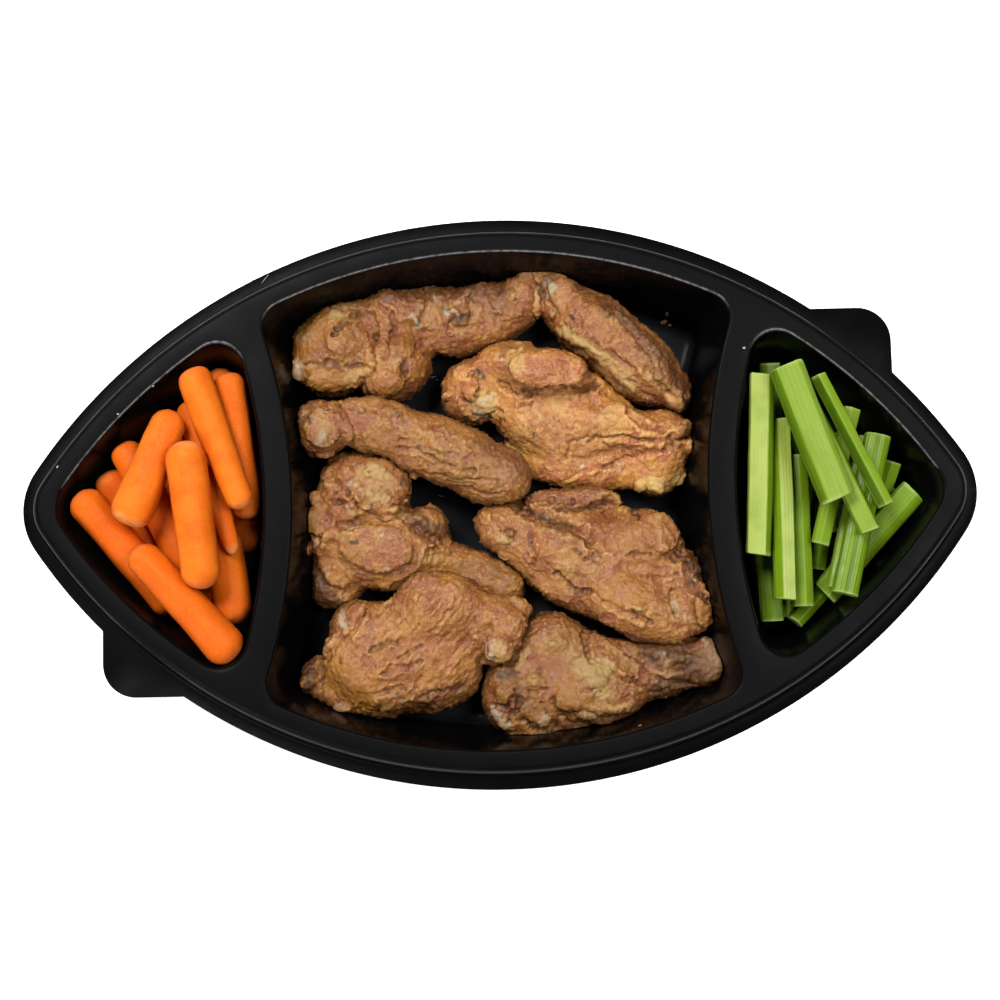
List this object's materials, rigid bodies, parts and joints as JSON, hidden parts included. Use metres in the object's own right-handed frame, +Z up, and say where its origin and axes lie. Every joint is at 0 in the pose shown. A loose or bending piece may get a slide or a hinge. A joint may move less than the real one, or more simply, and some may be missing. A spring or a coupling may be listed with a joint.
{
  "type": "party tray of wings and vegetables",
  "caption": "Eye-shaped black party tray with three pockets: baby carrots, cooked chicken wings and celery sticks.",
  "frame": {"origin": "middle of the tray, on the plane that its pocket floors stand on", "axes": "+X along the tray towards the celery pocket, +Y towards the rim above the wings in the usual view, +Z up"},
  "size_m": [0.3408, 0.2042, 0.0559],
  "materials": {
    "black_plastic": "glossy pockets with a satin rim",
    "fried_skin": "oven-browned skin, slightly oily",
    "carrot": "peeled and slightly damp",
    "celery": "ribbed, fresh and slightly damp"
  },
  "bodies": {
    "root": {"carrot_deep_right": "carrot", "carrot_deep_tip": "carrot", "carrot_deep_top": "carrot", "carrot_hidden_1": "carrot", "carrot_hidden_2": "carrot", "carrot_hidden_3": "carrot", "carrot_hidden_4": "carrot", "carrot_low_bottom": "carrot", "carrot_low_left": "carrot", "carrot_low_right": "carrot", "carrot_mid_left": "carrot", "carrot_mid_right": "carrot", "carrot_mid_slim": "carrot", "carrot_top_left": "carrot", "carrot_top_middle": "carrot", "carrot_top_right": "carrot", "celery_deep_low": "celery", "celery_deep_right": "celery", "celery_deep_top": "celery", "celery_hidden_1": "celery", "celery_hidden_2": "celery", "celery_hidden_3": "celery", "celery_hidden_4": "celery", "celery_low_left": "celery", "celery_low_right": "celery", "celery_mid_cross": "celery", "celery_mid_right": "celery", "celery_ribbed": "celery", "celery_slim_left": "celery", "celery_slim_middle": "celery", "celery_straight": "celery", "celery_top_left": "celery", "celery_top_middle": "celery", "celery_top_slant": "celery", "celery_top_thin": "celery", "celery_top_wide": "celery", "tray": "black_plastic", "wing_centre": "fried_skin", "wing_low_left": "fried_skin", "wing_low_right": "fried_skin", "wing_mid_left": "fried_skin", "wing_mid_right": "fried_skin", "wing_top_left": "fried_skin", "wing_top_right": "fried_skin", "wing_upper_left": "fried_skin"}
  },
  "joints": []
}
